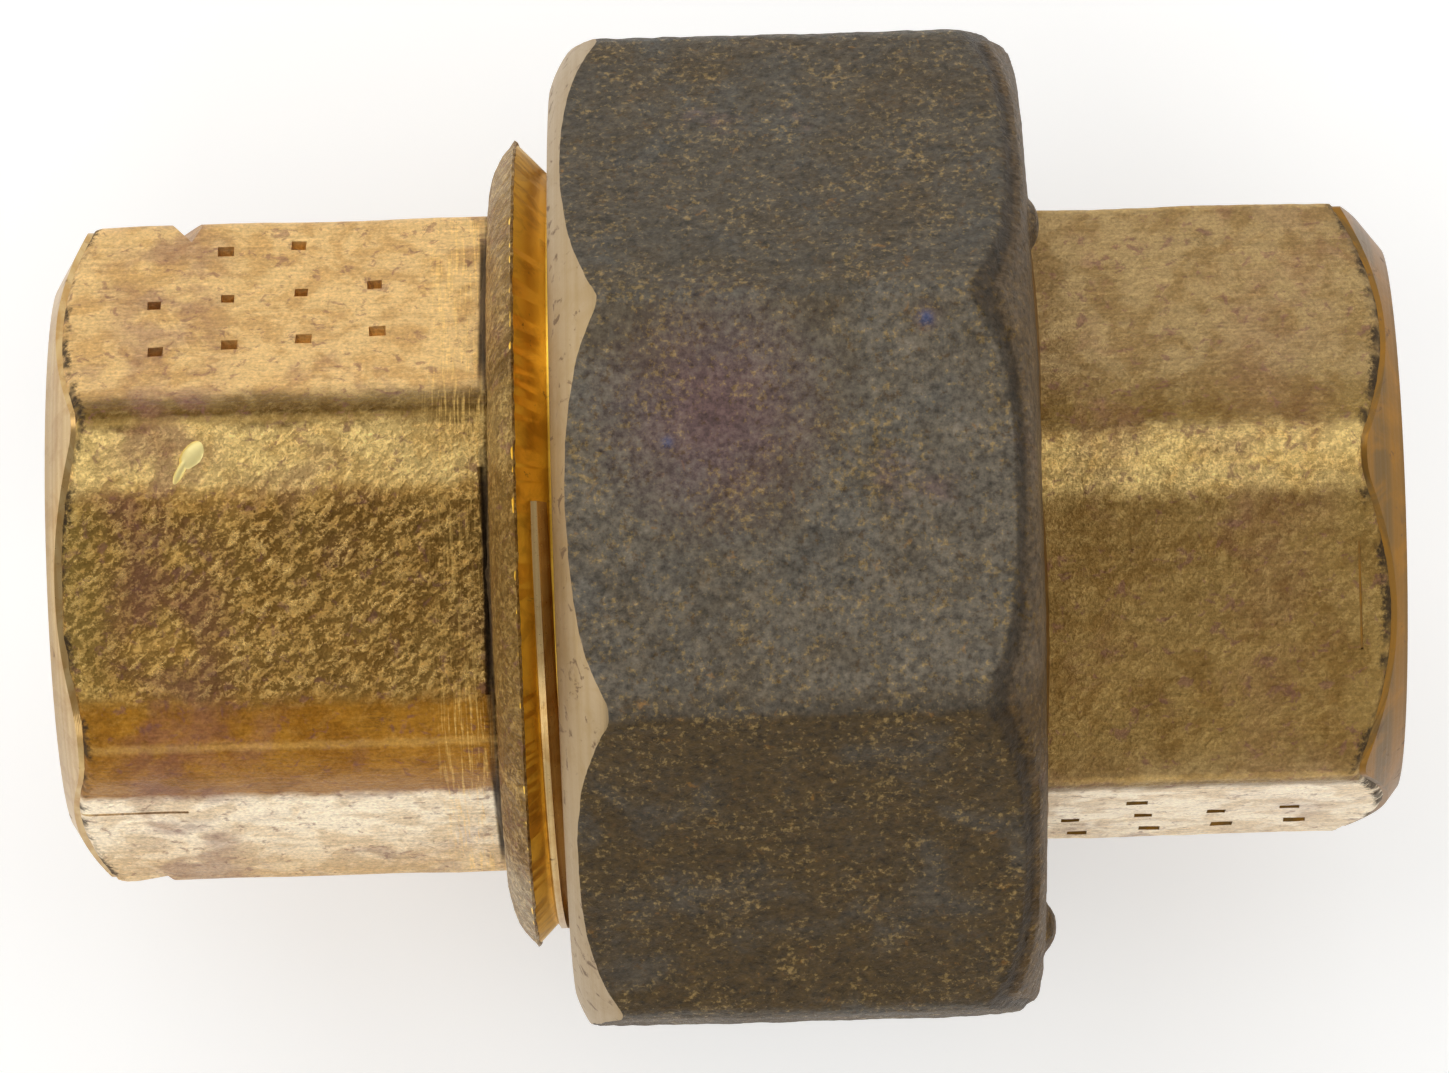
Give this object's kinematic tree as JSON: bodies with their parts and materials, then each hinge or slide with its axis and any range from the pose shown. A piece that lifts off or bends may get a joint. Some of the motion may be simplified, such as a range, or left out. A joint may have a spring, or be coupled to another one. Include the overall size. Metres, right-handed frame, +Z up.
{
  "type": "pipe union",
  "caption": "Ground-joint pipe union: two hexagonal ends with female pipe threads, drawn together metal to metal by an octagonal union nut.",
  "frame": {"origin": "on the pipe axis, halfway between the two end faces", "axes": "+X along the pipe axis from the threaded end to the tail end, +Z up out of the nut's upper flat, so the lower flat rests on the table"},
  "size_m": [0.0616, 0.045, 0.045],
  "materials": {
    "threaded_end": "warm golden forged brass, satin flats, turned ends",
    "tail_end": "olive-gold forged brass, satin flats, turned end",
    "union_nut": "dark bronze casting skin with a bare turned left chamfer"
  },
  "bodies": {
    "threaded_end": {"threaded_end": "threaded_end"},
    "tail_end": {"tail_end": "tail_end"},
    "union_nut": {"union_nut": "union_nut"}
  },
  "joints": [
    {"name": "tail_travel", "type": "slide", "parent": "threaded_end", "child": "tail_end", "axis": [1, 0, 0], "range_m": [0, 0.00953]},
    {"name": "nut_turn", "type": "hinge", "parent": "tail_end", "child": "union_nut", "pos_m": [0.01431, 0, 0], "axis": [1, 0, 0], "range_deg": [0, 2160]}
  ],
  "couplings": [
    {"joint": "tail_travel", "follows": "nut_turn", "m_per_rad": 0.00025266}
  ]
}
